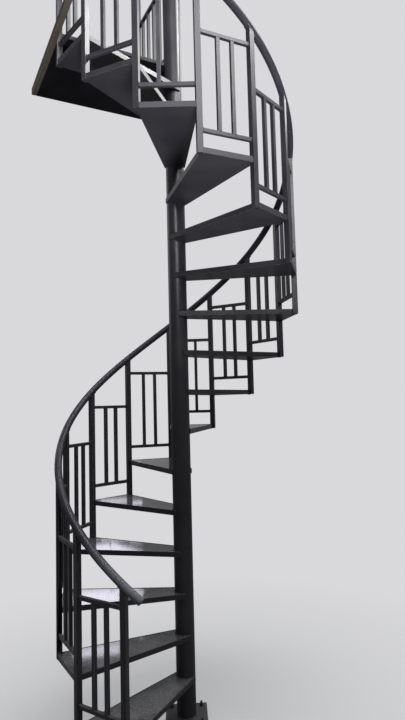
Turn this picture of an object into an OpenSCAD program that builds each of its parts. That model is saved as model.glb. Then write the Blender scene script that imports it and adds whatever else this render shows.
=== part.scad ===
// Spiral staircase of painted steel, life size, in millimetres.
// Sixteen wedge treads climb clockwise, seen from above, around a round
// column and end at a quarter landing. The origin is on the column's axis at
// floor level, +Z is up, and the low end of the stair faces -Y.

/* [Climb] */
// Height from one tread top to the next
rise = 215; // [190:1:240]
// Plan angle that each tread takes up
tread_angle = 25.1; // [22:0.1:28]
// Plan angle of the first baluster post, from +X, anticlockwise
first_post_turn = 246.5; // [180:0.1:300]
// Radius of the circle that the post centres stand on
post_circle_r = 650; // [520:5:760]

/* [Column] */
// Outer diameter of the column tube
column_od = 101.6; // [76:0.1:140]
// Wall of the column tube
column_wall = 4; // [3:0.5:8]
// Side of the square foot plate
foot_plate_w = 220; // [200:5:300]
// Thickness of the foot plate
foot_plate_t = 10; // [6:1:20]
// Pitch of the four anchor bolts
anchor_pitch = 160; // [150:1:180]
// Diameter of an anchor hole
anchor_hole_d = 14; // [10:0.5:18]

/* [Treads] */
// Depth of a tread pan, which shows as its edge band
tread_t = 27; // [20:1:45]
// Steel of the pan
pan_wall = 4; // [2:0.5:6]
// Width of steel left beside the column by the tangent sides
hub_lip = 7; // [4:0.5:12]

/* [Balustrade] */
// Side of the square baluster posts
post_w = 28; // [20:1:40]
// Side of the square rails and bars
bar_w = 18; // [12:1:24]
// Tread top to the centre of the lower rail
low_rail_h = 85; // [60:1:140]
// Tread top to the centre of the upper rail
high_rail_h = 559; // [450:1:640]
// Upright bars in each panel
bars_per_panel = 2; // [1:1:3]
// Distance between the upright bars of a panel
bar_pitch = 76; // [60:1:90]
// Tread top to the handrail's centre, at the post behind it
handrail_h = 867; // [760:1:1000]
// Outer diameter of the handrail pipe
handrail_od = 38; // [25:0.5:45]
// Plan angle that the handrail runs on past the first post
handrail_run_on = 7; // [2:0.5:9]

/* [Landing] */
// Height from the last tread to the landing
landing_rise = 158; // [140:1:240]
// Length of the landing, from the last tread to the wall
landing_d = 550; // [500:5:900]
// Depth of the landing's frame under its deck
landing_frame_t = 40; // [30:1:80]
// Width of a frame member
landing_member_w = 30; // [20:1:50]
// Thickness of the deck slab
deck_t = 22; // [15:1:50]
// Width of the bearer beside the landing
bearer_w = 28; // [20:1:60]
// How far the bearer runs on past the last post
bearer_run_on = 350; // [100:5:400]
// Upright bars in the landing's guard
guard_bars = 5; // [3:1:5]

/* [Hidden] */
treads = 16;
seat = 0.3;
saddle_gap = 0.6;
saddle_drop = 6;
foot_pad_w = 70;
foot_pad_t = 6;
cap_t = 6;
pan_floor = 3;
fill_drop = 1.5;
guard_margin = 4;
rail_sides = 16;
rail_steps = 5;
column_r = column_od / 2;
rail_r = handrail_od / 2;
hub_r = column_r + hub_lip;
tread_corner_r = post_circle_r + post_w / 2;
rail_low_run = handrail_run_on / tread_angle;
rail_high_run = rail_low_run / 2;
landing_z = treads * rise + landing_rise;
column_top = landing_z + handrail_h + rail_r;
guard_end_v = landing_d - post_w / 2 - guard_margin;
guard_bar_pitch = guard_end_v / (guard_bars + 1);
landing_side = post_circle_r + post_w / 2;
landing_open_side = post_w / 2 + guard_margin;

// Plan angle of post n; the first post is number 0
function post_turn(n) = first_post_turn - n * tread_angle;

// Plan angle between a tread's middle line and the normal of its straight side
side_swing = tread_angle / 2 + acos(hub_r / tread_corner_r);

// Slope of the handrail, from one post to the next
rail_slope = atan(rise / (post_circle_r * tread_angle * PI / 180));

// Straight distance between neighbouring posts, and the column to that line
post_chord = 2 * post_circle_r * sin(tread_angle / 2);
chord_r = post_circle_r * cos(tread_angle / 2);

// Colours of the drawing: charcoal paint, ground stone fill, primed bearer
module paint() {
    color([0.13, 0.13, 0.14])
        children();
}

module stone() {
    color([0.55, 0.55, 0.53])
        children();
}

module primer() {
    color([0.27, 0.24, 0.20])
        children();
}

// Square bar that stands on its end, two faces square to X
module square_bar(w, height) {
    translate([-w / 2, -w / 2, 0])
        cube([w, w, height]);
}

// Places its child at post n and height z, with X pointing outward
module at_post(n, z) {
    rotate([0, 0, post_turn(n)])
        translate([post_circle_r, 0, z])
            children();
}

// Places its child on the middle line of tread n, with X pointing outward
module at_bay(n, z) {
    rotate([0, 0, post_turn(n - 0.5)])
        translate([0, 0, z])
            children();
}

// Plan of a tread with its middle line on X, all sides moved in by inset
module tread_plan(inset) {
    edge = tread_corner_r * cos(tread_angle / 2) - inset;
    hub = hub_r - inset;
    reach = (hub - edge * cos(side_swing)) / sin(side_swing);
    polygon([
        [edge, -reach],
        [edge, reach],
        hub * [cos(side_swing), sin(side_swing)],
        hub * [cos(side_swing), -sin(side_swing)]
    ]);
}

// Tread outline raised to a height, clear of the column and of its two posts
module tread_block(inset, height, clear) {
    difference() {
        linear_extrude(height)
            tread_plan(inset);
        translate([0, 0, -1])
            cylinder(r = column_r + clear, h = height + 2, $fn = 64);
        for (side = [-1, 1])
            rotate([0, 0, side * tread_angle / 2])
                translate([post_circle_r, 0, -1])
                    square_bar(post_w + 2 * clear, height + 2);
    }
}

// Steel pan of tread n: a floor and an edge band, open at the top
module tread_pan(n) {
    paint()
        at_bay(n, n * rise - tread_t)
            difference() {
                tread_block(0, tread_t, seat);
                translate([0, 0, pan_floor])
                    tread_block(pan_wall, tread_t, seat + pan_wall);
            }
}

// Stone fill of one pan, a little below the rim
module tread_fill(n) {
    at_bay(n, n * rise - tread_t + pan_floor)
        tread_block(pan_wall + seat, tread_t - pan_floor - fill_drop,
                    2 * seat + pan_wall);
}

module tread_fills() {
    stone()
        for (n = [1 : treads])
            tread_fill(n);
}

// Baluster post n from height low up to the handrail, its top cut to the pipe
module baluster_post(n, low) {
    top = n * rise + handrail_h;
    at_post(n, 0)
        difference() {
            translate([0, 0, low])
                square_bar(post_w, top - low);
            translate([0, 0, top])
                rotate([-rail_slope, 0, 0]) {
                    rotate([90, 0, 0])
                        cylinder(d = handrail_od + 2 * saddle_gap,
                                 h = 4 * post_w, center = true, $fn = 48);
                    translate([-post_w, -2 * post_w, -saddle_drop])
                        cube([2 * post_w, 4 * post_w, 2 * post_w]);
                }
        }
}

// First post, which stands on the floor on a small pad
module post_00() {
    paint() {
        baluster_post(0, 0);
        at_post(0, 0)
            square_bar(foot_pad_w, foot_pad_t);
    }
}

// Rails and bars over tread n, with the post at their upper end
module panel(n) {
    paint()
        difference() {
            union() {
                baluster_post(n, n * rise - tread_t);
                at_bay(n, n * rise)
                    translate([chord_r, 0, 0])
                        lattice(post_chord, bars_per_panel, bar_pitch);
            }
            at_post(n - 1, n * rise)
                square_bar(post_w + 2 * seat, handrail_h);
        }
}

// Two level rails joined by upright bars at a pitch, in the plane X = 0
module lattice(span, bars, pitch) {
    for (z = [low_rail_h, high_rail_h])
        translate([-bar_w / 2, -span / 2, z - bar_w / 2])
            cube([bar_w, span, bar_w]);
    for (k = [1 : bars])
        translate([0, pitch * (k - (bars + 1) / 2), low_rail_h])
            square_bar(bar_w, high_rail_h - low_rail_h);
}

// Handrail: a round section carried along the helix through the post tops
module handrail() {
    stations = ceil(rail_steps * (treads + rail_low_run + rail_high_run));
    along = [for (i = [0 : stations])
        -rail_low_run + i * (treads + rail_low_run + rail_high_run) / stations];
    ring = [for (j = [0 : rail_sides - 1]) 360 * j / rail_sides];
    points = [for (s = along) for (a = ring) rail_point(s, a)];
    skin = [for (i = [0 : stations - 1]) for (j = [0 : rail_sides - 1])
        [rail_index(i, j), rail_index(i + 1, j),
         rail_index(i + 1, j + 1), rail_index(i, j + 1)]];
    low_end = [for (j = [0 : rail_sides - 1]) rail_index(0, j)];
    high_end = [for (j = [rail_sides - 1 : -1 : 0]) rail_index(stations, j)];
    paint()
        polyhedron(points, concat(skin, [low_end, high_end]));
}

// Number of the handrail point j at station i
function rail_index(i, j) = i * rail_sides + j % rail_sides;

// Point on the pipe's surface, s posts along the climb, a round the section
function rail_point(s, a) =
    let (turn = post_turn(s))
    let (out = post_circle_r + rail_r * cos(a))
    let (aside = rail_r * sin(a) * sin(rail_slope))
    [out * cos(turn) - aside * sin(turn),
     out * sin(turn) + aside * cos(turn),
     s * rise + handrail_h + rail_r * sin(a) * cos(rail_slope)];

// Column tube from the foot plate to its cap
module column() {
    paint()
        translate([0, 0, foot_plate_t])
            difference() {
                cylinder(d = column_od, h = column_top - foot_plate_t, $fn = 96);
                translate([0, 0, -1])
                    cylinder(d = column_od - 2 * column_wall,
                             h = column_top, $fn = 96);
            }
}

// Square foot plate with four anchor holes
module foot_plate() {
    paint()
        difference() {
            translate([-foot_plate_w / 2, -foot_plate_w / 2, 0])
                cube([foot_plate_w, foot_plate_w, foot_plate_t]);
            for (x = [-1, 1], y = [-1, 1])
                translate([x * anchor_pitch / 2, y * anchor_pitch / 2, -1])
                    cylinder(d = anchor_hole_d, h = foot_plate_t + 2, $fn = 32);
        }
}

// Cap that closes the column, with a rounded rim
module column_cap() {
    paint()
        translate([0, 0, column_top])
            rotate_extrude($fn = 96)
                union() {
                    square([column_r - cap_t / 2, cap_t]);
                    translate([column_r - cap_t / 2, cap_t / 2])
                        circle(d = cap_t, $fn = 24);
                }
}

// Places its child in the landing's frame: -X along the last radius, Y to
// the wall, at the height of the deck's top
module at_landing(z) {
    rotate([0, 0, post_turn(treads) - 180])
        translate([0, 0, landing_z + z])
            children();
}

// Landing outline without the corner of the last post and the column's round
module landing_block(z, height, inset, clear) {
    difference() {
        translate([inset - landing_side, inset, z])
            cube([landing_side + landing_open_side - 2 * inset,
                  landing_d - 2 * inset, height]);
        translate([0, 0, z - 1])
            cylinder(r = column_r + clear, h = height + 2, $fn = 64);
        translate([-post_circle_r, 0, z - 1])
            square_bar(post_w + 2 * clear, height + 2);
    }
}

// Landing frame: four sides, a joist and a closed underside
module landing_frame() {
    deep = landing_frame_t;
    wide = (landing_side + landing_open_side - 3 * landing_member_w) / 2;
    paint()
        at_landing(-deck_t - deep)
            difference() {
                landing_block(0, deep, 0, seat);
                intersection() {
                    landing_block(pan_floor, deep, landing_member_w,
                                  seat + landing_member_w);
                    for (k = [0, 1])
                        translate([landing_member_w - landing_side
                                   + k * (wide + landing_member_w), 0, 0])
                            cube([wide, landing_d, 2 * deep]);
                }
            }
}

// Deck slab of the landing
module landing_deck() {
    stone()
        at_landing(-deck_t)
            landing_block(0, deck_t, 0, seat);
}

// Guard along the landing's open side, from the column to its end post
module landing_guard() {
    paint()
        at_landing(0)
            difference() {
                union() {
                    translate([0, guard_end_v, 0])
                        square_bar(post_w, handrail_h);
                    translate([0, guard_end_v / 2, 0])
                        lattice(guard_end_v, guard_bars, guard_bar_pitch);
                    translate([0, guard_end_v + post_w / 2, handrail_h])
                        rotate([90, 0, 0])
                            cylinder(d = handrail_od, h = guard_end_v + post_w / 2,
                                     $fn = 48);
                }
                translate([0, 0, -1])
                    cylinder(r = column_r + seat, h = 2 * handrail_h, $fn = 64);
            }
}

// Bearer beside the landing, which runs on past the last post to the building
module landing_bearer() {
    primer()
        at_landing(-deck_t - landing_frame_t)
            translate([-landing_side - seat - bearer_w, -bearer_run_on, 0])
                cube([bearer_w, landing_d + bearer_run_on, landing_frame_t]);
}

module tread_01() {
    tread_pan(1);
}

module tread_02() {
    tread_pan(2);
}

module tread_03() {
    tread_pan(3);
}

module tread_04() {
    tread_pan(4);
}

module tread_05() {
    tread_pan(5);
}

module tread_06() {
    tread_pan(6);
}

module tread_07() {
    tread_pan(7);
}

module tread_08() {
    tread_pan(8);
}

module tread_09() {
    tread_pan(9);
}

module tread_10() {
    tread_pan(10);
}

module tread_11() {
    tread_pan(11);
}

module tread_12() {
    tread_pan(12);
}

module tread_13() {
    tread_pan(13);
}

module tread_14() {
    tread_pan(14);
}

module tread_15() {
    tread_pan(15);
}

module tread_16() {
    tread_pan(16);
}

module panel_01() {
    panel(1);
}

module panel_02() {
    panel(2);
}

module panel_03() {
    panel(3);
}

module panel_04() {
    panel(4);
}

module panel_05() {
    panel(5);
}

module panel_06() {
    panel(6);
}

module panel_07() {
    panel(7);
}

module panel_08() {
    panel(8);
}

module panel_09() {
    panel(9);
}

module panel_10() {
    panel(10);
}

module panel_11() {
    panel(11);
}

module panel_12() {
    panel(12);
}

module panel_13() {
    panel(13);
}

module panel_14() {
    panel(14);
}

module panel_15() {
    panel(15);
}

module panel_16() {
    panel(16);
}

column();
foot_plate();
column_cap();
post_00();
tread_01();
tread_02();
tread_03();
tread_04();
tread_05();
tread_06();
tread_07();
tread_08();
tread_09();
tread_10();
tread_11();
tread_12();
tread_13();
tread_14();
tread_15();
tread_16();
tread_fills();
panel_01();
panel_02();
panel_03();
panel_04();
panel_05();
panel_06();
panel_07();
panel_08();
panel_09();
panel_10();
panel_11();
panel_12();
panel_13();
panel_14();
panel_15();
panel_16();
handrail();
landing_frame();
landing_deck();
landing_guard();
landing_bearer();
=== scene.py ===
"""Dresses the spiral staircase: paint, stone, weld beads, bolts, light and camera."""

import logging
import math
from dataclasses import dataclass, field
from enum import Enum
from typing import Iterable, Optional, Sequence, Union

import bmesh
import bpy
from bmesh.types import BMesh, BMFace
from bpy.types import Material, NodeSocket, Object, World
from mathutils import Matrix, Vector

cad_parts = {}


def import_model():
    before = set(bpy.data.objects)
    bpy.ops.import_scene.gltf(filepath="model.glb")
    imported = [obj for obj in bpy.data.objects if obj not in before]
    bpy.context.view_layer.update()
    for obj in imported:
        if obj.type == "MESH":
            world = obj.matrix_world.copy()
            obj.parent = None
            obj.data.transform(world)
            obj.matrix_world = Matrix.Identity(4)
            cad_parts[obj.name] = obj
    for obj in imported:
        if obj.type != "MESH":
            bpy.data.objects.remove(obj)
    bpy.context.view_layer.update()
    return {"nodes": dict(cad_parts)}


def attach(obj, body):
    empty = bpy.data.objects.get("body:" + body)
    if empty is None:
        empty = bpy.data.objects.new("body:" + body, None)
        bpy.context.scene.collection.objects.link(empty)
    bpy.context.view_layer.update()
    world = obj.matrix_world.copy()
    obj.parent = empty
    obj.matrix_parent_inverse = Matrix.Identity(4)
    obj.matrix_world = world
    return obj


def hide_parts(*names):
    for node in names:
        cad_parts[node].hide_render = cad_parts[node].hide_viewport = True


LOG = logging.getLogger("stair")


# Sizes


@dataclass(frozen=True)
class StairPlan:
    """The driving dimensions of the stair, in metres and degrees."""

    treads: int = 16
    rise: float = 0.215
    tread_angle: float = 25.1
    first_post_turn: float = 246.5
    post_circle_r: float = 0.650
    column_r: float = 0.0508
    hub_r: float = 0.0578
    tread_t: float = 0.027
    post_w: float = 0.028
    bar_w: float = 0.018
    bar_pitch: float = 0.076
    low_rail_h: float = 0.085
    high_rail_h: float = 0.559
    handrail_h: float = 0.867
    handrail_r: float = 0.019
    handrail_run_on: float = 7.0
    landing_rise: float = 0.158
    landing_d: float = 0.550
    guard_margin: float = 0.004
    guard_bars: int = 5
    foot_pad_t: float = 0.006

    @property
    def guard_end(self) -> float:
        """Distance from the column's axis to the guard's end post."""
        return self.landing_d - self.post_w / 2 - self.guard_margin

    @property
    def post_chord(self) -> float:
        """Straight distance between two neighbouring posts."""
        return 2 * self.post_circle_r * math.sin(math.radians(self.tread_angle / 2))

    @property
    def chord_r(self) -> float:
        """Distance from the column's axis to the line between two posts."""
        return self.post_circle_r * math.cos(math.radians(self.tread_angle / 2))

    @property
    def rail_slope(self) -> float:
        """Slope of the handrail in radians."""
        return math.atan(self.rise / (self.post_circle_r * math.radians(self.tread_angle)))

    @property
    def side_swing(self) -> float:
        """Angle in degrees from a tread's middle line to its side's normal."""
        corner_r = self.post_circle_r + self.post_w / 2
        return self.tread_angle / 2 + math.degrees(math.acos(self.hub_r / corner_r))

    @property
    def landing_z(self) -> float:
        """Height of the landing's top."""
        return self.treads * self.rise + self.landing_rise

    def post_turn(self, n: float) -> float:
        """Plan angle of post n in radians."""
        return math.radians(self.first_post_turn - n * self.tread_angle)

    def at_post(self, n: float, z: float, r: Optional[float] = None) -> Matrix:
        """Place at post n.

        Args:
            n: number of the post, with halves for the middle of a bay.
            z: height above the floor.
            r: distance from the column's axis, the post circle's if left out.

        Returns:
            A matrix with X pointing outward and Y down the climb.
        """
        out = self.post_circle_r if r is None else r
        turn = Matrix.Rotation(self.post_turn(n), 4, "Z")
        return turn @ Matrix.Translation((out, 0.0, z))

    def at_landing(self, u: float, v: float, z: float) -> Matrix:
        """Place on the landing.

        Args:
            u: distance from the column's axis, negative toward the last post.
            v: distance from the column's axis toward the landing's far edge.
            z: height above the landing's top.

        Returns:
            A matrix with X pointing away from the last post and Y to the far edge.
        """
        turn = Matrix.Rotation(self.post_turn(self.treads) - math.pi, 4, "Z")
        return turn @ Matrix.Translation((u, v, self.landing_z + z))


# Finishes


def linear(hex_code: str) -> tuple[float, float, float, float]:
    """Turns an sRGB hex value into linear colour with full alpha.

    Args:
        hex_code: six hex digits.

    Returns:
        Red, green, blue and alpha for a shader socket.
    """
    channels = []
    for i in (0, 2, 4):
        c = int(hex_code[i:i + 2], 16) / 255
        channels.append(c / 12.92 if c <= 0.04045 else ((c + 0.055) / 1.055) ** 2.4)
    return (channels[0], channels[1], channels[2], 1.0)


def per_mm(size_mm: float) -> float:
    """Scale of a pattern on Object coordinates whose cells are size_mm wide."""
    return 1000.0 / size_mm


@dataclass
class Recipe:
    """The nodes of a material or of the world, under construction."""

    owner: Union[Material, World]

    def __post_init__(self) -> None:
        """Empties the node tree."""
        self.owner.use_nodes = True
        self.owner.node_tree.nodes.clear()

    def add(self, kind: str, out: Union[int, str], settings: Optional[dict[str, str]] = None,
            **links: object) -> NodeSocket:
        """Adds one node with its settings and links.

        Args:
            kind: the node's type name, without ShaderNode.
            out: number or name of the output that is wanted.
            settings: attributes to set on the node.
            **links: socket name, underscores for spaces or a leading underscore
                and a number for an index, to a value or an output socket.

        Returns:
            That output, or the node's first input where it has no output.
        """
        tree = self.owner.node_tree
        node = tree.nodes.new(f"ShaderNode{kind}")
        for name, value in (settings or {}).items():
            setattr(node, name, value)
        for name, value in links.items():
            key = int(name[1:]) if name[0] == "_" else name.replace("_", " ")
            if isinstance(value, NodeSocket):
                tree.links.new(value, node.inputs[key])
            else:
                node.inputs[key].default_value = value
        return node.outputs[out] if node.outputs else node.inputs[0]


# Settings of the nodes

SMOOTH = {"interpolation_type": "SMOOTHSTEP"}
COLOUR_MIX = {"data_type": "RGBA"}
TIMES = {"operation": "MULTIPLY"}
TIMES_PLUS = {"operation": "MULTIPLY_ADD"}
LESS = {"operation": "LESS_THAN"}
MORE = {"operation": "GREATER_THAN"}
LARGER = {"operation": "MAXIMUM"}

# Octaves of the noise patterns, from the most ragged to the plainest

CLOUD_DETAIL = 5.0
GRIT_DETAIL = 4.0
GRAIN_DETAIL = 3.0
FINE_DETAIL = 2.0

# Names and colours that several parts share

WORN_EDGE = "worn_edge"
BACKGROUND = "d9d9dc"


@dataclass(frozen=True)
class Enamel:
    """Alkyd enamel brushed on steel: a dark, semi-gloss skin that dulls with dust.

    The brush leaves faint upright streaks, and a thick coat dries to orange
    peel. It is rubbed thin along the edges and where hands grip it, grey dust
    settles where the surface looks up, and a few pale specks stick to it.
    The grip's paleness is partly painted light, raised to stand in for light on
    the handrail's low end.
    Primer is such a coat with less gloss, and so is the near-black copy of the
    enamel that paints shade on the landing's frame.
    """

    name: str
    colour: str
    worn_colour: str
    # The rubbed colour shows on worn edges, and below the grip's heights, where it is partly
    # painted light.
    rubbed_and_painted_light_colour: str = "6c6a69"
    dust_colour: str = "6b6965"
    speck_colour: str = "b9b6ab"
    ior: float = 1.5
    sheen: float = 0.45
    roughness: float = 0.30
    # The clouds swing the roughness by this much, from this far below it.
    gloss_swing: float = 0.22
    gloss_below: float = 0.08
    cloud_mm: float = 160.0
    cloud_low: float = 0.35
    cloud_high: float = 0.70
    # Brush streaks are about half a millimetre wide and orange peel two: both are too
    # fine to show in the render, so they are drawn coarser.
    streak_mm: float = 3.0
    streak_squeeze: float = 0.04
    streak_low: float = 0.38
    streak_high: float = 0.66
    brush: float = 0.08
    brush_depth: float = 0.0006
    orange_peel_mm: float = 7.0
    orange_peel: float = 0.12
    orange_peel_depth: float = 0.0010
    rubbed_share: float = 0.60
    # Below the grip's high mark, in metres, the coat is paler, and palest below its low
    # mark: wear from hands, and painted light on the handrail's low end.
    grip_and_painted_light_share: float = 0.0
    grip_and_painted_light_low: float = 0.80
    grip_and_painted_light_high: float = 1.10
    # Dust starts where the normal's upward part is dust_from and is whole at dust_full.
    # It lies in patches as wide as grit_mm, and thins to grit_least between them.
    dust_share: float = 0.34
    dust_from: float = 0.35
    dust_full: float = 0.95
    dust_dulls: float = 0.6
    grit_mm: float = 9.0
    grit_low: float = 0.25
    grit_high: float = 0.80
    grit_least: float = 0.45
    # A speck's radius as a share of its cell, and the lot from which a cell has one.
    speck_mm: float = 26.0
    speck_r: float = 0.055
    speck_lot: float = 0.93

    def build(self) -> Material:
        """Makes the paint.

        Returns:
            The finished material.
        """
        r = Recipe(bpy.data.materials.new(self.name))
        point = r.add("TexCoord", "Object")
        cloud = r.add("TexNoise", 0, Vector=point, Scale=per_mm(self.cloud_mm),
                      Detail=CLOUD_DETAIL)
        drawn_out = r.add("Mapping", 0, Vector=point, Scale=(1.0, 1.0, self.streak_squeeze))
        streak = r.add("TexNoise", 0, Vector=drawn_out, Scale=per_mm(self.streak_mm),
                       Detail=FINE_DETAIL)
        bare = self.coat(r, point, cloud, streak)
        dust = self.dust(r, point)
        dusty = r.add("Mix", 2, COLOUR_MIX, _0=dust, _6=bare, _7=linear(self.dust_colour))
        speck = self.specks(r, point)
        final = r.add("Mix", 2, COLOUR_MIX, _0=speck, _6=dusty, _7=linear(self.speck_colour))
        gloss = r.add("Math", 0, TIMES_PLUS, _0=cloud, _1=self.gloss_swing,
                      _2=self.roughness - self.gloss_below)
        dull = r.add("Math", 0, TIMES_PLUS, _0=dust, _1=self.dust_dulls, _2=gloss)
        skin = self.skin(r, point, streak)
        shader = r.add("BsdfPrincipled", 0, Base_Color=final, Roughness=dull, Normal=skin,
                       IOR=self.ior, Specular_IOR_Level=self.sheen)
        r.add("OutputMaterial", 0, Surface=shader)
        return r.owner

    def coat(self, r: Recipe, point: NodeSocket, cloud: NodeSocket,
             streak: NodeSocket) -> NodeSocket:
        """Colour of the coat with its wear, before any dust. Its paler part below the grip's
        heights is wear from hands and painted light on the handrail's low end.

        Args:
            r: the material's nodes.
            point: Object coordinates.
            cloud: the broad noise.
            streak: the brush's noise.

        Returns:
            The colour.
        """
        worn = r.add("MapRange", 0, SMOOTH, Value=cloud, From_Min=self.cloud_low,
                     From_Max=self.cloud_high)
        coat = r.add("Mix", 2, COLOUR_MIX, _0=worn, _6=linear(self.colour),
                     _7=linear(self.worn_colour))
        edge = r.add("Attribute", "Fac", {"attribute_name": WORN_EDGE})
        rubbed = r.add("MapRange", 0, SMOOTH, Value=streak, From_Min=self.streak_low,
                       From_Max=self.streak_high, To_Max=self.rubbed_share)
        thin = r.add("Math", 0, TIMES, _0=edge, _1=rubbed)
        body = r.add("Mix", 2, COLOUR_MIX, _0=thin, _6=coat, _7=linear(self.rubbed_and_painted_light_colour))
        # Paler towards the bottom below the grip's heights: wear from hands, and painted light
        # on the handrail's low end.
        height = r.add("SeparateXYZ", 2, Vector=point)
        gripped_and_painted_light = r.add("MapRange", 0, SMOOTH, Value=height, From_Min=self.grip_and_painted_light_high,
                        From_Max=self.grip_and_painted_light_low, To_Max=self.grip_and_painted_light_share)
        return r.add("Mix", 2, COLOUR_MIX, _0=gripped_and_painted_light, _6=body, _7=linear(self.rubbed_and_painted_light_colour))

    def dust(self, r: Recipe, point: NodeSocket) -> NodeSocket:
        """Cover of the dust that settles on faces that look up.

        Args:
            r: the material's nodes.
            point: Object coordinates.

        Returns:
            The cover, from 0 to dust_share.
        """
        normal = r.add("NewGeometry", "Normal")
        up = r.add("SeparateXYZ", 2, Vector=normal)
        facing_up = r.add("MapRange", 0, SMOOTH, Value=up, From_Min=self.dust_from,
                          From_Max=self.dust_full)
        grit = r.add("TexNoise", 0, Vector=point, Scale=per_mm(self.grit_mm),
                     Detail=GRIT_DETAIL)
        patchy = r.add("MapRange", 0, SMOOTH, Value=grit, From_Min=self.grit_low,
                       From_Max=self.grit_high, To_Min=self.grit_least)
        settled = r.add("Math", 0, TIMES, _0=facing_up, _1=patchy)
        return r.add("Math", 0, TIMES, _0=settled, _1=self.dust_share)

    def specks(self, r: Recipe, point: NodeSocket) -> NodeSocket:
        """Where the few pale specks lie.

        Args:
            r: the material's nodes.
            point: Object coordinates.

        Returns:
            1 on a speck, else 0.
        """
        scale = per_mm(self.speck_mm)
        distance = r.add("TexVoronoi", "Distance", Vector=point, Scale=scale)
        cell = r.add("TexVoronoi", "Color", Vector=point, Scale=scale)
        lot = r.add("SeparateColor", 0, Color=cell)
        near = r.add("Math", 0, LESS, _0=distance, _1=self.speck_r)
        few = r.add("Math", 0, MORE, _0=lot, _1=self.speck_lot)
        return r.add("Math", 0, TIMES, _0=near, _1=few)

    def skin(self, r: Recipe, point: NodeSocket, streak: NodeSocket) -> NodeSocket:
        """Relief of the brush's streaks and of the orange peel.

        Args:
            r: the material's nodes.
            point: Object coordinates.
            streak: the brush's noise.

        Returns:
            The bumped normal.
        """
        peel = r.add("TexNoise", 0, Vector=point, Scale=per_mm(self.orange_peel_mm),
                     Detail=FINE_DETAIL)
        fine = r.add("Bump", 0, Strength=self.brush, Distance=self.brush_depth,
                     Height=streak)
        return r.add("Bump", 0, Strength=self.orange_peel, Distance=self.orange_peel_depth,
                     Height=peel, Normal=fine)


@dataclass(frozen=True)
class Terrazzo:
    """Cast terrazzo, ground and polished: grey cement with dark and pale chips.

    The polish gives a clear reflection at a flat angle, dulled in patches by dust.
    The landing's screed is such a mix with sand in it, left rough.
    """

    name: str
    cement: str = "68686a"
    cement_low: str = "525253"
    dark_chip: str = "28292a"
    pale_chip: str = "84837f"
    dust_colour: str = "7c7b78"
    ior: float = 1.55
    roughness: float = 0.055
    # Real chips are 3 to 5 mm wide and the cement's grain about 1 mm. Both are too fine
    # to show in the render, so they are drawn coarser.
    chip_mm: float = 7.0
    chip_core: float = 0.34
    chip_rim: float = 0.46
    # Each cell draws two lots: a high one makes its chip dark, or pale.
    dark_from: float = 0.62
    dark_full: float = 0.70
    pale_from: float = 0.66
    pale_full: float = 0.74
    grain_mm: float = 2.2
    grain_low: float = 0.35
    grain_high: float = 0.68
    grain_bump: float = 0.03
    grain_depth: float = 0.0005
    patch_mm: float = 110.0
    patch_low: float = 0.45
    patch_high: float = 0.72
    dust_share: float = 0.45
    dust_dulls: float = 0.06

    def build(self) -> Material:
        """Makes the stone.

        Returns:
            The finished material.
        """
        r = Recipe(bpy.data.materials.new(self.name))
        point = r.add("TexCoord", "Object")
        grain = r.add("TexNoise", 0, Vector=point, Scale=per_mm(self.grain_mm),
                      Detail=GRAIN_DETAIL)
        patch = r.add("TexNoise", 0, Vector=point, Scale=per_mm(self.patch_mm),
                      Detail=CLOUD_DETAIL)
        mottle = r.add("MapRange", 0, SMOOTH, Value=grain, From_Min=self.grain_low,
                       From_Max=self.grain_high)
        cement = r.add("Mix", 2, COLOUR_MIX, _0=mottle, _6=linear(self.cement),
                       _7=linear(self.cement_low))
        ground = self.chips(r, point, cement)
        settled = r.add("MapRange", 0, SMOOTH, Value=patch, From_Min=self.patch_low,
                        From_Max=self.patch_high)
        dust = r.add("Math", 0, TIMES, _0=settled, _1=self.dust_share)
        final = r.add("Mix", 2, COLOUR_MIX, _0=dust, _6=ground, _7=linear(self.dust_colour))
        dull = r.add("Math", 0, TIMES_PLUS, _0=dust, _1=self.dust_dulls, _2=self.roughness)
        bump = r.add("Bump", 0, Strength=self.grain_bump, Distance=self.grain_depth,
                     Height=grain)
        shader = r.add("BsdfPrincipled", 0, Base_Color=final, Roughness=dull, Normal=bump,
                       IOR=self.ior)
        r.add("OutputMaterial", 0, Surface=shader)
        return r.owner

    def chips(self, r: Recipe, point: NodeSocket, cement: NodeSocket) -> NodeSocket:
        """Strews dark and pale chips over the cement.

        Args:
            r: the material's nodes.
            point: Object coordinates.
            cement: the cement's colour.

        Returns:
            The colour with the chips in it.
        """
        scale = per_mm(self.chip_mm)
        distance = r.add("TexVoronoi", "Distance", Vector=point, Scale=scale)
        cell = r.add("TexVoronoi", "Color", Vector=point, Scale=scale)
        lot_dark = r.add("SeparateColor", 0, Color=cell)
        lot_pale = r.add("SeparateColor", 1, Color=cell)
        inside = r.add("MapRange", 0, SMOOTH, Value=distance, From_Min=self.chip_rim,
                       From_Max=self.chip_core)
        few_dark = r.add("MapRange", 0, SMOOTH, Value=lot_dark, From_Min=self.dark_from,
                         From_Max=self.dark_full)
        few_pale = r.add("MapRange", 0, SMOOTH, Value=lot_pale, From_Min=self.pale_from,
                         From_Max=self.pale_full)
        dark = r.add("Math", 0, TIMES, _0=inside, _1=few_dark)
        pale = r.add("Math", 0, TIMES, _0=inside, _1=few_pale)
        with_dark = r.add("Mix", 2, COLOUR_MIX, _0=dark, _6=cement, _7=linear(self.dark_chip))
        return r.add("Mix", 2, COLOUR_MIX, _0=pale, _6=with_dark, _7=linear(self.pale_chip))


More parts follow.
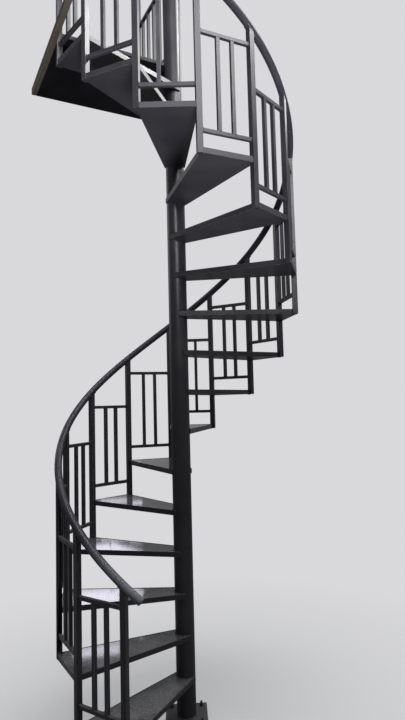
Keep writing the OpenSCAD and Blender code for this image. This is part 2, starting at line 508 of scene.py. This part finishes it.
@dataclass(frozen=True)
class Floor:
    """Pale studio floor that fades into the background away from the stair.

    It throws back little light of its own, so that faces that look down stay dark.
    """

    name: str = "Pale_Floor"
    colour: str = "bebebd"
    bounce: str = "5a5a58"
    # The fade starts this near and is whole this far from the column, in metres.
    near: float = 0.6
    far: float = 2.6
    least: float = 0.45
    mirror_share: float = 0.10

    def build(self) -> Material:
        """Makes the floor's finish.

        Returns:
            The finished material.
        """
        r = Recipe(bpy.data.materials.new(self.name))
        point = r.add("TexCoord", "Object")
        flat = r.add("Mapping", 0, Vector=point, Scale=(1.0, 1.0, 0.0))
        length = r.add("VectorMath", "Value", {"operation": "LENGTH"}, _0=flat)
        fade = r.add("MapRange", 0, SMOOTH, Value=length, From_Min=self.near,
                     From_Max=self.far, To_Min=self.least)
        seen = r.add("LightPath", "Is Camera Ray")
        mirrored = r.add("LightPath", "Is Glossy Ray")
        dimmed = r.add("Math", 0, TIMES, _0=mirrored, _1=self.mirror_share)
        shown = r.add("Math", 0, LARGER, _0=seen, _1=dimmed)
        tone = r.add("Mix", 2, COLOUR_MIX, _0=shown, _6=linear(self.bounce),
                     _7=linear(self.colour))
        share = r.add("Math", 0, TIMES, _0=fade, _1=shown)
        matt = r.add("BsdfDiffuse", 0, Color=tone)
        glow = r.add("Emission", 0, Color=linear(BACKGROUND), Strength=1.0)
        mixed = r.add("MixShader", 0, _0=share, _1=matt, _2=glow)
        r.add("OutputMaterial", 0, Surface=mixed)
        return r.owner


class Slot(Enum):
    """Material slots of the record."""

    PAINT = "paint_charcoal"
    STONE = "stone_fill"
    PRIMER = "primer_olive"


@dataclass
class Palette:
    """Every finish of the stair, built once."""

    paint: Material = field(init=False)
    rail: Material = field(init=False)
    primer: Material = field(init=False)
    fill: Material = field(init=False)
    slab: Material = field(init=False)
    soffit_painted_shade: Material = field(init=False)

    def __post_init__(self) -> None:
        """Builds the materials."""
        # A near-black violet grey that mirrors the sky softly on its flat faces.
        self.paint = Enamel("Alkyd_Enamel_Charcoal", "222127", "2a292d").build()
        # The same coat, smoothed by hands, with a soft narrow shine and a paler low end:
        # wear from hands, and painted light on the low end.
        self.rail = Enamel("Alkyd_Enamel_Handled", "252429", "2e2d33",
                           rubbed_and_painted_light_colour="686a6e", dust_colour="6a696d", grit_mm=60.0,
                           roughness=0.27, sheen=0.12, brush=0.01, orange_peel=0.05,
                           dust_from=0.0, dust_share=0.08, grip_and_painted_light_share=0.75).build()
        # Flat brown primer that was never painted over.
        self.primer = Enamel("Red_Lead_Primer_Faded", "403a33", "4b453d",
                             roughness=0.55).build()
        # Dark wet-looking stone with pale chips, bright where it mirrors a window.
        self.fill = Terrazzo("Terrazzo_Polished_Grey").build()
        # Matt grey screed. Its sand is 1 to 2 mm wide and is drawn at 4 mm, so that it shows.
        self.slab = Terrazzo("Cement_Screed_Grey", "7c7d80", "6b6c6f", "5a5b5d", "95959a",
                             chip_mm=4.0, roughness=0.82).build()
        # A near-black copy of the enamel, nearly without gloss, for the landing's frame:
        # painted shade, so that the landing's underside stays dark.
        self.soffit_painted_shade = Enamel("Charcoal_Enamel_Painted_Shade", "0c0b0e", "131216", roughness=0.6,
                             sheen=0.06).build()

    def of(self, slot: Slot) -> Material:
        """The material that a slot is finished with."""
        return {Slot.PAINT: self.paint, Slot.STONE: self.fill,
                Slot.PRIMER: self.primer}[slot]


# Mesh helpers

# Corners of a CAD mesh this near, in metres, are one, and faces this flat are one.
MERGE_WITHIN = 2e-5
FLAT_DEG = 0.4
# Faces that bend by less than this many radians lie in one plane.
LEAST_BEND = 0.009
# Edges that turn more than this are rounded on a CAD mesh, by this many faces.
ROUND_FROM_DEG = 35.0
ROUND_FACES = 2
# Edges that turn more than this are shaded sharp.
SHARP_DEG = 32.0
# Round of a collar's edges, as a share of its thinnest side.
COLLAR_ROUND = 0.42
# Turns a flat circle on the X axis so that it faces along a sweep round Z.
ALONG_SWEEP = Matrix.Rotation(math.pi / 2, 4, "X")


def new_piece(name: str, bm: BMesh, material: Material,
              all_smooth: bool = True) -> Object:
    """Turns a bmesh into a piece of the stair that rides on the root body.

    Args:
        name: the object's name.
        bm: the shape; it is freed.
        material: finish of every face.
        all_smooth: shades every face smooth, else the shape's own marks count.

    Returns:
        The new object.
    """
    mesh = bpy.data.meshes.new(name)
    marks = [face.smooth or all_smooth for face in bm.faces]
    bm.to_mesh(mesh)
    bm.free()
    mesh.materials.append(material)
    mesh.set_sharp_from_angle(angle=math.radians(SHARP_DEG))
    mesh.polygons.foreach_set("use_smooth", marks)
    piece = bpy.data.objects.new(name, mesh)
    bpy.context.scene.collection.objects.link(piece)
    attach(piece, "root")
    LOG.info("%s: %d faces", name, len(mesh.polygons))
    return piece


def merged_copy(node: Object) -> BMesh:
    """Copies a CAD node's mesh with its triangles joined into flat faces.

    Args:
        node: the CAD node's object, which is left as it is.

    Returns:
        The merged shape.
    """
    bm = bmesh.new()
    bm.from_mesh(node.data)
    bmesh.ops.remove_doubles(bm, verts=bm.verts, dist=MERGE_WITHIN)
    bmesh.ops.dissolve_limit(bm, angle_limit=math.radians(FLAT_DEG), verts=bm.verts,
                             edges=bm.edges, delimit=set())
    return bm


def soften(bm: BMesh, radius: float) -> None:
    """Rounds the sharp edges of a merged shape and marks them as worn.

    Args:
        bm: the shape.
        radius: width of the round, in metres.
    """
    limit = math.radians(ROUND_FROM_DEG)
    worn = bm.faces.layers.float.new(WORN_EDGE)
    edges = [e for e in bm.edges
             if len(e.link_faces) == 2 and e.calc_face_angle(0.0) > limit]
    made = bmesh.ops.bevel(bm, geom=edges, offset=radius, offset_type="OFFSET",
                           segments=ROUND_FACES, profile=0.5, affect="EDGES",
                           clamp_overlap=True, material=-1)
    rounds = set(made["faces"])
    for face in bm.faces:
        face.smooth = face in rounds or is_curved(face, rounds, limit)
        face[worn] = 1.0 if face in rounds else 0.0


def is_curved(face: BMFace, rounds: set[BMFace], limit: float) -> bool:
    """Tells whether a face is one strip of a curved surface.

    Args:
        face: the face.
        rounds: faces of the rounded edges, which don't count.
        limit: widest angle in radians between two strips.

    Returns:
        True where it bends into a neighbour by less than the limit.
    """
    for edge in face.edges:
        others = [f for f in edge.link_faces if f is not face and f not in rounds]
        if others and LEAST_BEND < edge.calc_face_angle(0.0) < limit:
            return True
    return False


def swept_tube(radius: float, place: Matrix, turn: float, lift: float, steps: int,
               sides: int) -> BMesh:
    """Sweeps a circle round the Z axis, rising as it goes, and closes both ends.

    Args:
        radius: radius of the circle.
        place: where the circle starts, its normal along the sweep.
        turn: swept angle in radians.
        lift: rise over the whole sweep.
        steps: number of segments along it.
        sides: number of sides of the circle.

    Returns:
        The tube as a new shape.
    """
    bm = bmesh.new()
    bmesh.ops.create_circle(bm, cap_ends=True, radius=radius, segments=sides, matrix=place)
    bmesh.ops.spin(bm, geom=bm.verts[:] + bm.edges[:] + bm.faces[:], cent=(0.0, 0.0, 0.0),
                   axis=(0.0, 0.0, 1.0), dvec=(0.0, 0.0, lift / steps), angle=turn,
                   steps=steps, use_merge=False, use_duplicate=False)
    return bm


def add_rod(bm: BMesh, start: Vector, end: Vector, radius: float, sides: int) -> None:
    """Adds a straight round rod.

    Args:
        bm: the shape to add to.
        start: middle of its first end.
        end: middle of its other end.
        radius: the rod's radius.
        sides: number of sides.
    """
    along = end - start
    place = Matrix.Translation((start + end) / 2) @ \
        along.to_track_quat("Z", "Y").to_matrix().to_4x4()
    bmesh.ops.create_cone(bm, cap_ends=True, segments=sides, radius1=radius, radius2=radius,
                          depth=along.length, matrix=place)


def add_collar(bm: BMesh, place: Matrix, size: Sequence[float]) -> None:
    """Adds a low box with rounded edges, for a bead that runs round a bar's end.

    Args:
        bm: the shape to add to.
        place: its middle and its turn.
        size: its length along X, Y and Z.
    """
    part = bmesh.new()
    bmesh.ops.create_cube(part, size=1.0)
    bmesh.ops.scale(part, vec=Vector(size), verts=part.verts)
    bmesh.ops.bevel(part, geom=list(part.edges), offset=min(size) * COLLAR_ROUND,
                    offset_type="OFFSET", segments=ROUND_FACES, profile=0.5, affect="EDGES",
                    clamp_overlap=True, material=-1)
    bmesh.ops.transform(part, matrix=place, verts=part.verts)
    join(bm, part)


def join(bm: BMesh, part: BMesh) -> None:
    """Adds one shape to another.

    Args:
        bm: the shape to add to.
        part: the shape that is added; it is freed.
    """
    mesh = bpy.data.meshes.new("part")
    part.to_mesh(mesh)
    part.free()
    bm.from_mesh(mesh)
    bpy.data.meshes.remove(mesh)


# Sub-assemblies


@dataclass
class SteelWork:
    """CAD pieces of folded steel and of stone, with their edges eased by paint or wear."""

    nodes: dict[str, Object]
    plan: StairPlan
    palette: Palette
    edge_r: float = 0.0013
    tube_edge_r: float = 0.0016
    fill_edge_r: float = 0.0008
    landing_edge_r: float = 0.0020
    slab_edge_r: float = 0.0030
    guard_edge_r: float = 0.0014

    def build(self) -> None:
        """Eases every steel and stone node and paints the round ones."""
        for n in range(1, self.plan.treads + 1):
            self.ease(f"tread_{n:02d}", Slot.PAINT, self.edge_r)
            self.ease(f"panel_{n:02d}", Slot.PAINT, self.tube_edge_r)
        self.ease("post_00", Slot.PAINT, self.tube_edge_r)
        self.ease("tread_fills", Slot.STONE, self.fill_edge_r)
        self.ease("foot_plate", Slot.PAINT, self.edge_r)
        # The landing's frame wears the near-black copy of the enamel: painted shade.
        self.ease("landing_frame", Slot.PAINT, self.landing_edge_r, self.palette.soffit_painted_shade)
        self.ease("landing_deck", Slot.STONE, self.slab_edge_r, self.palette.slab)
        self.ease("landing_bearer", Slot.PRIMER, self.landing_edge_r)
        self.ease("landing_guard", Slot.PAINT, self.guard_edge_r)
        for name in ("column", "column_cap"):
            self.paint(name)

    def ease(self, node: str, slot: Slot, radius: float,
             material: Optional[Material] = None) -> None:
        """Replaces a CAD node by a copy of itself with rounded edges.

        Args:
            node: the node's name.
            slot: the record's slot.
            radius: radius of the edges.
            material: finish, the slot's own if left out.
        """
        bm = merged_copy(self.nodes[node])
        soften(bm, radius)
        finish = material or self.palette.of(slot)
        piece = new_piece(f"{node}_eased", bm, finish, all_smooth=False)
        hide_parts(node)

    def paint(self, name: str) -> None:
        """Paints a CAD node that needs no easing.

        Args:
            name: the node's name.
        """
        node = self.nodes[name]
        node.data.materials.clear()
        node.data.materials.append(self.palette.paint)
        LOG.info("%s: painted", name)


@dataclass
class Handrail:
    """The pipe that climbs the post tops, with a domed plug in each end."""

    plan: StairPlan
    palette: Palette
    sides: int = 24
    steps_per_bay: int = 10
    dome_steps: int = 4
    # Height of a dome as a share of the pipe's radius.
    dome_rise: float = 0.35

    def build(self) -> None:
        """Sweeps the pipe along its helix and rounds its ends."""
        p = self.plan
        # In bays: it runs on past the last post half as far as before the first.
        low = p.handrail_run_on / p.tread_angle
        high = low / 2
        bays = p.treads + low + high
        place = p.at_post(-low, p.handrail_h - low * p.rise) @ \
            Matrix.Rotation(p.rail_slope, 4, "X").inverted() @ ALONG_SWEEP
        bm = swept_tube(p.handrail_r, place, -math.radians(bays * p.tread_angle),
                        bays * p.rise, round(bays * self.steps_per_bay), self.sides)
        bmesh.ops.recalc_face_normals(bm, faces=bm.faces)
        for end in [f for f in bm.faces if len(f.verts) == self.sides]:
            self.dome(bm, end)
        piece = new_piece("handrail_pipe", bm, self.palette.rail)
        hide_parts("handrail")

    def dome(self, bm: BMesh, end: BMFace) -> None:
        """Turns a flat pipe end into a low dome.

        Args:
            bm: the pipe.
            end: the flat face that closes it.
        """
        face = end
        out = end.normal.copy()
        rise = self.plan.handrail_r * self.dome_rise
        angle = math.pi / 2 / (self.dome_steps + 1)
        for k in range(self.dome_steps):
            shrink = math.cos(angle * (k + 1)) / math.cos(angle * k)
            lift = math.sin(angle * (k + 1)) - math.sin(angle * k)
            made = bmesh.ops.extrude_discrete_faces(bm, faces=[face])
            face = made["faces"][0]
            centre = face.calc_center_median()
            bmesh.ops.scale(bm, vec=(shrink, shrink, shrink), verts=face.verts,
                            space=Matrix.Translation(-centre))
            bmesh.ops.translate(bm, vec=out * lift * rise, verts=face.verts)


@dataclass
class WeldBeads:
    """Fillet welds that join the steel: small rippled beads under the paint."""

    plan: StairPlan
    palette: Palette
    bead_r: float = 0.0028
    bead_sides: int = 8
    ripples: int = 56
    # Radius of every other ring as a share of its full size.
    ripple_low: float = 0.76
    # The hub's beads stop this far short of a tread's sides.
    hub_stop_deg: float = 6.0
    hub_gap: float = 0.0006
    # A collar stands out from its tube by collar_out, and its middle lies
    # collar_gap from the face that it meets.
    collar_t: float = 0.0046
    collar_out: float = 0.0026
    collar_gap: float = 0.0012
    column_gap: float = 0.0010
    foot_gap: float = 0.0016
    bar_collar_over: float = 0.002
    saddle_t: float = 0.0070
    saddle_drop: float = 0.001
    # How far a bead runs along a post's flank, as a share of half its width.
    flank_share: float = 0.7

    @property
    def collar_w(self) -> float:
        """Width of a collar round a bar or a level rail."""
        return self.plan.bar_w + 2 * self.collar_out

    @property
    def bar_collar(self) -> tuple[float, float, float]:
        """Size of the collar at the end of an upright bar."""
        return (self.plan.bar_w + self.bar_collar_over, self.collar_w, self.collar_t)

    @property
    def rail_collar(self) -> tuple[float, float, float]:
        """Size of the collar at the end of a level rail."""
        return (self.collar_w, self.collar_t, self.collar_w)

    def build(self) -> None:
        """Lays every bead."""
        self.hub_beads()
        self.panel_beads()
        self.post_beads()
        self.rail_beads()
        self.guard_beads()

    def finish(self, name: str, bm: BMesh) -> None:
        """Makes a painted piece of some beads."""
        new_piece(name, bm, self.palette.paint)

    def hub_beads(self) -> None:
        """Beads between each tread and the column, above and below."""
        p = self.plan
        bm = bmesh.new()
        reach = p.side_swing - self.hub_stop_deg
        for n in range(1, p.treads + 1):
            for z in (n * p.rise - p.tread_t, n * p.rise):
                place = p.at_post(n - 0.5, z, p.column_r + self.hub_gap)
                first = Matrix.Rotation(math.radians(reach), 4, "Z")
                bead = swept_tube(self.bead_r, first @ place @ ALONG_SWEEP,
                                  -math.radians(2 * reach), 0.0, self.ripples,
                                  self.bead_sides)
                self.ripple(bead)
                join(bm, bead)
        bmesh.ops.recalc_face_normals(bm, faces=bm.faces)
        self.finish("weld_hubs", bm)

    def ripple(self, bm: BMesh) -> None:
        """Thins every other ring of swept beads, as a stick weld freezes in ripples.

        Args:
            bm: one bead, with its rings in order.
        """
        bm.verts.ensure_lookup_table()
        for first in range(0, len(bm.verts), 2 * self.bead_sides):
            ring = bm.verts[first:first + self.bead_sides]
            centre = sum((v.co for v in ring), Vector()) / self.bead_sides
            for v in ring:
                v.co = centre.lerp(v.co, self.ripple_low)

    def panel_beads(self) -> None:
        """Beads round the ends of the level rails and of the upright bars."""
        p = self.plan
        bm = bmesh.new()
        end = p.post_chord / 2 - p.post_w / 2 - self.collar_gap
        for n in range(1, p.treads + 1):
            for h in (p.low_rail_h, p.high_rail_h):
                level = p.at_post(n - 0.5, n * p.rise + h, p.chord_r)
                for side in (-1, 1):
                    place = level @ Matrix.Translation((0.0, side * end, 0.0))
                    add_collar(bm, place, self.rail_collar)
                up = 1 if h == p.low_rail_h else -1
                for k in (-1, 1):
                    place = level @ Matrix.Translation(
                        (0.0, k * p.bar_pitch / 2, up * p.bar_w / 2))
                    add_collar(bm, place, self.bar_collar)
        self.finish("weld_panels", bm)

    def post_beads(self) -> None:
        """Beads between the posts and the two treads that each one ties."""
        p = self.plan
        bm = bmesh.new()
        edge = p.post_w / 2
        flank_end = edge * self.flank_share
        for n in range(0, p.treads + 1):
            levels = []
            if n >= 1:
                levels += [(n * p.rise - p.tread_t, 1), (n * p.rise, 1)]
            if n < p.treads:
                levels += [((n + 1) * p.rise - p.tread_t, -1), ((n + 1) * p.rise, -1)]
            for z, side in levels:
                place = p.at_post(n, z)
                inner = [place @ Vector((-edge, y, 0.0)) for y in (0.0, side * edge)]
                flank = [place @ Vector((x, side * edge, 0.0)) for x in (-edge, flank_end)]
                for start, end in (inner, flank):
                    add_rod(bm, start, end, self.bead_r, self.bead_sides)
        self.finish("weld_posts", bm)

    def rail_beads(self) -> None:
        """Beads between the post tops and the handrail."""
        p = self.plan
        bm = bmesh.new()
        drop = math.sqrt(p.handrail_r ** 2 - (p.post_w / 2) ** 2)
        tilt = Matrix.Rotation(-p.rail_slope, 4, "X")
        long = p.post_w / math.cos(p.rail_slope) + 2 * self.collar_out
        saddle = (p.post_w + self.collar_out, long, self.saddle_t)
        for n in range(0, p.treads + 1):
            place = p.at_post(n, n * p.rise + p.handrail_h) @ tilt @ \
                Matrix.Translation((0.0, 0.0, -drop - self.saddle_drop))
            add_collar(bm, place, saddle)
        self.finish("weld_handrail", bm)

    def guard_beads(self) -> None:
        """Beads of the landing's guard, and round the foot of its end post and of post 0."""
        p = self.plan
        bm = bmesh.new()
        foot_w = p.post_w + 2 * self.collar_out
        foot = (foot_w, foot_w, self.collar_t)
        ends = (p.column_r + self.column_gap, p.guard_end - p.post_w / 2 - self.collar_gap)
        for h in (p.low_rail_h, p.high_rail_h):
            for v in ends:
                add_collar(bm, p.at_landing(0.0, v, h), self.rail_collar)
            up = 1 if h == p.low_rail_h else -1
            for k in range(1, p.guard_bars + 1):
                v = p.guard_end * k / (p.guard_bars + 1)
                add_collar(bm, p.at_landing(0.0, v, h + up * p.bar_w / 2), self.bar_collar)
        add_collar(bm, p.at_landing(0.0, p.guard_end, self.foot_gap), foot)
        add_collar(bm, p.at_post(0, p.foot_pad_t + self.foot_gap), foot)
        self.finish("weld_guard", bm)


@dataclass
class Anchors:
    """Bolts and the bead that hold the column's foot."""

    plan: StairPlan
    palette: Palette
    anchor_pitch: float = 0.160
    plate_t: float = 0.010
    nut_w: float = 0.018
    nut_h: float = 0.010
    nut_sides: int = 6
    washer_r: float = 0.012
    washer_t: float = 0.0025
    washer_sides: int = 32
    stud_r: float = 0.006
    stud_h: float = 0.012
    stud_sides: int = 16
    # The stud starts this far inside the nut.
    stud_sunk: float = 0.001
    bead_r: float = 0.0045
    bead_sides: int = 8
    bead_steps: int = 64
    bead_gap: float = 0.001
    seam_within: float = 1e-6

    def build(self) -> None:
        """Makes the anchors and the foot bead."""
        self.bolts()
        self.foot_bead()

    def bolts(self) -> None:
        """Sets a washer, a nut and a stud in each corner of the foot plate."""
        bm = bmesh.new()
        half = self.anchor_pitch / 2
        nut_low = self.plate_t + self.washer_t
        nut_top = nut_low + self.nut_h
        nut_r = self.nut_w / math.sqrt(3)
        stack = ((self.washer_r, self.washer_sides, self.plate_t, nut_low),
                 (nut_r, self.nut_sides, nut_low, nut_top),
                 (self.stud_r, self.stud_sides, nut_top - self.stud_sunk,
                  nut_top + self.stud_h))
        for x in (-half, half):
            for y in (-half, half):
                for radius, sides, low, high in stack:
                    add_rod(bm, Vector((x, y, low)), Vector((x, y, high)), radius, sides)
        bmesh.ops.recalc_face_normals(bm, faces=bm.faces)
        new_piece("foot_anchors", bm, self.palette.paint)

    def foot_bead(self) -> None:
        """Lays the bead between the column and the foot plate."""
        bm = bmesh.new()
        place = Matrix.Translation((self.plan.column_r + self.bead_gap, 0.0, self.plate_t)) @ \
            ALONG_SWEEP
        bmesh.ops.create_circle(bm, cap_ends=False, radius=self.bead_r,
                                segments=self.bead_sides, matrix=place)
        bmesh.ops.spin(bm, geom=bm.verts[:] + bm.edges[:], cent=(0.0, 0.0, 0.0),
                       axis=(0.0, 0.0, 1.0), dvec=(0.0, 0.0, 0.0), angle=2 * math.pi,
                       steps=self.bead_steps, use_merge=True, use_duplicate=False)
        bmesh.ops.remove_doubles(bm, verts=bm.verts, dist=self.seam_within)
        bmesh.ops.recalc_face_normals(bm, faces=bm.faces)
        new_piece("weld_foot", bm, self.palette.paint)


# Studio


@dataclass(frozen=True)
class Softbox:
    """An oblong soft lamp: its place, aim and size in metres, its watts and beam."""

    name: str
    at: tuple[float, float, float]
    aim: tuple[float, float, float]
    size: tuple[float, float]
    power: float
    spread_deg: float
    roll_deg: float = 0.0
    colour: str = "ffffff"
    mirrored: bool = True

    def hang(self) -> Object:
        """Adds the lamp to the scene.

        Returns:
            The lamp's object.
        """
        data = bpy.data.lights.new(self.name, "AREA")
        data.shape = "RECTANGLE"
        data.size, data.size_y = self.size
        data.energy = self.power
        data.spread = math.radians(self.spread_deg)
        data.color = linear(self.colour)[:3]
        lamp = bpy.data.objects.new(self.name, data)
        facing = (Vector(self.aim) - Vector(self.at)).to_track_quat("-Z", "Y")
        roll = Matrix.Rotation(math.radians(self.roll_deg), 4, "Z")
        lamp.matrix_world = Matrix.Translation(self.at) @ facing.to_matrix().to_4x4() @ roll
        lamp.visible_camera = False
        lamp.visible_glossy = self.mirrored
        bpy.context.scene.collection.objects.link(lamp)
        return lamp

    def hang_for(self, pieces: Iterable[str]) -> None:
        """Adds the lamp and keeps its light to some pieces.

        Args:
            pieces: names of the pieces that it lights.
        """
        lamp = self.hang()
        lit = bpy.data.collections.new(f"{self.name}_receivers")
        for name in pieces:
            lit.objects.link(bpy.data.objects[name])
        lamp.light_linking.receiver_collection = lit


@dataclass(frozen=True)
class Pane:
    """A bright opening behind the stair: its edges in metres, its watts and its turn."""

    left: float
    right: float
    low: float
    high: float
    power: float
    roll_deg: float = 0.0


# Lamps that light every piece
ROOM_LAMPS = (
    Softbox("sky_above", (0.3, -0.6, 10.0), (0.0, 0.0, 2.0), (4.2, 4.2), 90.0, 60.0),
    Softbox("sky_back", (3.2, 2.4, 9.5), (0.0, 0.0, 2.0), (3.0, 3.0), 22.0, 50.0),
    Softbox("side_left", (-3.2, 2.2, 3.6), (-0.3, 0.0, 1.8), (1.6, 2.0), 3.0, 80.0),
    Softbox("bounce", (0.6, -3.0, 0.5), (0.1, -0.1, 3.9), (1.5, 1.5), 20.0, 34.0,
            mirrored=False),
    Softbox("sky_far", (3.0, 2.5, 5.8), (0.0, -0.2, 3.3), (3.0, 1.6), 4.5, 40.0))

# Lamps that give the enamel its sheen and spare the stone
SHEEN_LAMPS = (
    Softbox("sky_sheen", (0.3, -0.6, 9.8), (0.0, 0.0, 2.0), (4.2, 4.2), 70.0, 60.0),
    Softbox("sky_front", (2.7, -3.9, 6.1), (0.2, -0.5, 3.5), (3.2, 2.0), 17.0, 40.0),
    Softbox("sky_right", (3.2, -1.0, 6.7), (0.1, -0.2, 3.7), (3.5, 1.8), 20.0, 50.0),
    Softbox("sky_slit", (3.7, -0.4, 6.1), (-0.5, -0.3, 4.0), (0.5, 0.5), 6.0, 40.0))

# A lamp for the enamel at the top. It spares the guard, which would mirror it in full
FILL_LAMP = Softbox("sky_fill", (0.2, -4.2, 4.7), (0.15, -0.2, 3.9), (4.2, 2.4), 24.0, 36.0)


@dataclass
class Studio:
    """Floor, soft lamps, background and the camera at the photo's place."""

    enamels: tuple[Material, ...]
    floor_r: float = 30.0
    floor_sides: int = 64
    room: str = "c9ccd2"
    room_level: float = 0.55
    # Share of the background that mirrors see, and how much they dim the room.
    glossy_share: float = 0.22
    glossy_dims: float = 0.75
    # The camera was fitted to the photo: its place in metres, its turns in radians
    # and its focal length in the photo's pixels.
    camera_at: tuple[float, float, float] = (0.0, -3.0617, 1.6406)
    yaw: float = 0.0424
    pitch: float = 0.0784
    roll: float = -0.0253
    focal_px: float = 554.4
    image_long_px: float = 720.0
    sensor_mm: float = 36.0
    clip_near: float = 0.05
    clip_far: float = 100.0
    # The panes stand in one plane, and only the stone of the treads mirrors them.
    pane_colour: str = "f2efff"
    pane_y: float = 3.6
    pane_aim: tuple[float, float, float] = (-0.4, 0.0, 1.1)
    pane_spread_deg: float = 70.0
    panes: tuple[Pane, ...] = (
        Pane(-1.25, -0.858, 1.69, 1.80, 0.053),
        Pane(-0.859, -0.465, 1.728, 1.820, 0.042, -20.0),
        Pane(-0.95, -0.62, 1.60, 1.65, 0.0090),
        Pane(-0.62, -0.47, 1.635, 1.67, 0.0040),
        Pane(-1.28, -0.75, 1.80, 1.95, 0.150),
        Pane(-1.28, -0.75, 1.985, 2.07, 0.095))

    def build(self) -> None:
        """Sets up everything that isn't the stair."""
        self.camera()
        self.floor()
        self.world()
        self.lamps()
        bpy.context.scene.view_settings.view_transform = "Standard"

    def camera(self) -> None:
        """Puts the camera where the photo was taken from."""
        forward = Vector((math.sin(self.yaw) * math.cos(self.pitch),
                          math.cos(self.yaw) * math.cos(self.pitch), math.sin(self.pitch)))
        level = Vector((math.cos(self.yaw), -math.sin(self.yaw), 0.0))
        upright = level.cross(forward)
        right = level * math.cos(self.roll) + upright * math.sin(self.roll)
        up = upright * math.cos(self.roll) - level * math.sin(self.roll)
        turn = Matrix((right, up, -forward)).transposed()
        data = bpy.data.cameras.new("camera")
        data.sensor_fit = "AUTO"
        data.sensor_width = self.sensor_mm
        data.lens = self.focal_px / self.image_long_px * self.sensor_mm
        data.clip_start = self.clip_near
        data.clip_end = self.clip_far
        camera = bpy.data.objects.new("camera", data)
        camera.matrix_world = Matrix.Translation(self.camera_at) @ turn.to_4x4()
        bpy.context.scene.collection.objects.link(camera)
        bpy.context.scene.camera = camera

    def floor(self) -> None:
        """Lays the pale floor."""
        bm = bmesh.new()
        bmesh.ops.create_circle(bm, cap_ends=True, radius=self.floor_r,
                                segments=self.floor_sides)
        mesh = bpy.data.meshes.new("floor")
        bm.to_mesh(mesh)
        bm.free()
        mesh.materials.append(Floor().build())
        floor = bpy.data.objects.new("floor", mesh)
        bpy.context.scene.collection.objects.link(floor)

    def world(self) -> None:
        """Gives camera rays a pale background and the stair a softer grey one."""
        world = bpy.data.worlds.new("soft_room")
        bpy.context.scene.world = world
        r = Recipe(world)
        seen = r.add("LightPath", "Is Camera Ray")
        mirrored = r.add("LightPath", "Is Glossy Ray")
        shine = r.add("Math", 0, TIMES, _0=mirrored, _1=self.glossy_share)
        shown = r.add("Math", 0, LARGER, _0=seen, _1=shine)
        level = r.add("Math", 0, TIMES_PLUS, _0=mirrored,
                      _1=-self.room_level * self.glossy_dims, _2=self.room_level)
        room = r.add("Background", 0, Color=linear(self.room), Strength=level)
        backdrop = r.add("Background", 0, Color=linear(BACKGROUND), Strength=1.0)
        mix = r.add("MixShader", 0, _0=shown, _1=room, _2=backdrop)
        r.add("OutputWorld", 0, Surface=mix)

    def lamps(self) -> None:
        """Hangs the soft lamps."""
        for lamp in ROOM_LAMPS:
            lamp.hang()
        painted = self.painted()
        for lamp in SHEEN_LAMPS:
            lamp.hang_for(painted)
        FILL_LAMP.hang_for([name for name in painted if "guard" not in name])
        for n, pane in enumerate(self.panes):
            at = ((pane.left + pane.right) / 2, self.pane_y, (pane.low + pane.high) / 2)
            size = (pane.right - pane.left, pane.high - pane.low)
            window = Softbox(f"window_{n}", at, self.pane_aim, size, pane.power,
                             self.pane_spread_deg, pane.roll_deg, self.pane_colour)
            window.hang_for(["tread_fills_eased"])

    def painted(self) -> list[str]:
        """Names of the pieces that wear the enamel."""
        return [o.name for o in bpy.data.objects
                if o.type == "MESH" and any(m.name in o.data.materials for m in self.enamels)]


def main() -> None:
    """Builds the dressed stair in order."""
    logging.basicConfig(level=logging.INFO, format="%(name)s %(message)s")
    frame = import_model()
    plan = StairPlan()
    palette = Palette()
    SteelWork(frame["nodes"], plan, palette).build()
    Handrail(plan, palette).build()
    WeldBeads(plan, palette).build()
    Anchors(plan, palette).build()
    Studio((palette.paint, palette.rail)).build()


if __name__ == "__main__":
    main()
